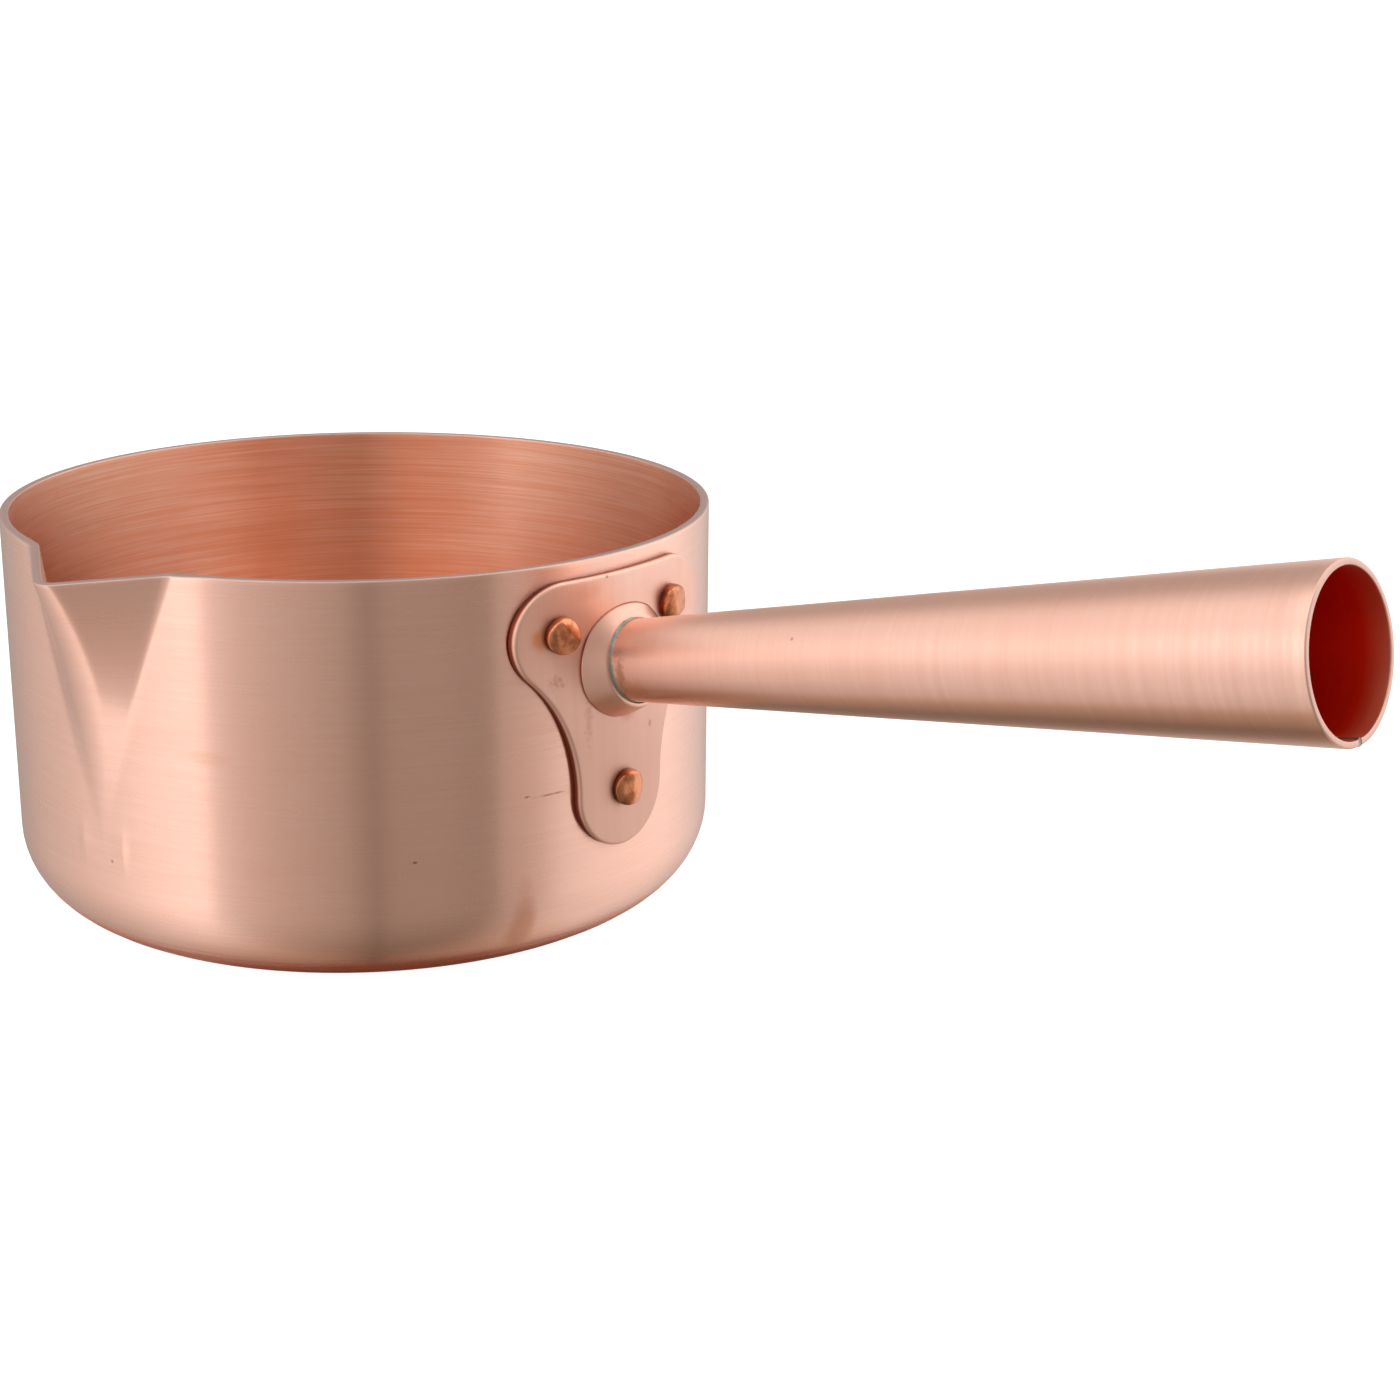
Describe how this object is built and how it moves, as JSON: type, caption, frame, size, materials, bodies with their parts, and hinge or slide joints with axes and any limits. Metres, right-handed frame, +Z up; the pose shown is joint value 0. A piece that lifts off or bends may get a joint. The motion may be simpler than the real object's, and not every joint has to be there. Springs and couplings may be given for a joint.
{
  "type": "saucepan",
  "caption": "Straight-sided copper saucepan with a pressed pouring spout and a hollow conical handle on a riveted plate.",
  "frame": {"origin": "centre of the flat underside of the pan, on the axis that its wall is round about", "axes": "+Z up along the pan's axis, +X along the handle seen from above, the spout 86 degrees clockwise of the handle, almost along -Y"},
  "size_m": [0.3278, 0.1721, 0.1153],
  "materials": {
    "pan_copper": "copper, brushed around the pan",
    "plate_copper": "copper, softly polished, stained near the rivets",
    "handle_copper": "copper, brushed across the handle",
    "rivet_copper": "copper, hammered and darkened",
    "silver_braze": "dull silver braze"
  },
  "bodies": {
    "root": {"pan_body": "pan_copper", "handle_plate": "plate_copper", "handle_collar": "plate_copper", "handle_tube": "handle_copper", "tube_seam_braze": "silver_braze", "collar_braze": "silver_braze", "rivet_upper_left": "rivet_copper", "rivet_upper_right": "rivet_copper", "rivet_lower": "rivet_copper"}
  },
  "joints": []
}
